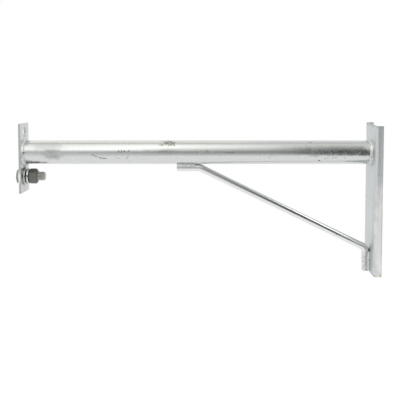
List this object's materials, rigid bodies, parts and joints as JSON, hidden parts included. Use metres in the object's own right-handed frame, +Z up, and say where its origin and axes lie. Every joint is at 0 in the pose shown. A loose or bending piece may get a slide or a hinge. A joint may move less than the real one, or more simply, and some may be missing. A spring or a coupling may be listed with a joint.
{
  "type": "fibre optic extension arm",
  "caption": "Welded steel arm for fibre cable: a tube with a drilled and bolted plate at its tip, and a channel, braced by a bent rod, that seats against a pole.",
  "frame": {"origin": "on the tube's axis, in the plane where the channel's flange edges meet the pole", "axes": "+X along the tube towards the pole, +Z up the pole, -Y towards the front"},
  "size_m": [0.4868, 0.05, 0.2032],
  "materials": {
    "galvanised_tube": "hot-dip zinc, half gloss, with faint spangle, drag marks and dross spots",
    "galvanised_plate": "hot-dip zinc, satin, dull at its sheared edges",
    "galvanised_channel": "hot-dip zinc, satin, with drips at the lower edge",
    "galvanised_rod": "hot-dip zinc, half gloss, with fine runs along the rod",
    "galvanised_weld": "zinc over rippled weld metal",
    "bolt_zinc": "zinc, spun, dull on the thread",
    "washer_zinc": "zinc, half gloss",
    "dark_nut": "dull dark zinc"
  },
  "bodies": {
    "root": {"arm_tube": "galvanised_tube", "end_plate": "galvanised_plate", "pole_channel": "galvanised_channel", "brace_rod": "galvanised_rod", "plate_weld": "galvanised_weld", "channel_weld": "galvanised_weld", "brace_weld_front": "galvanised_weld", "brace_weld_back": "galvanised_weld", "foot_weld_front": "galvanised_weld", "foot_weld_back": "galvanised_weld", "hex_bolt": "bolt_zinc", "flat_washer": "washer_zinc", "spring_washer": "washer_zinc", "hex_nut": "dark_nut"}
  },
  "joints": []
}
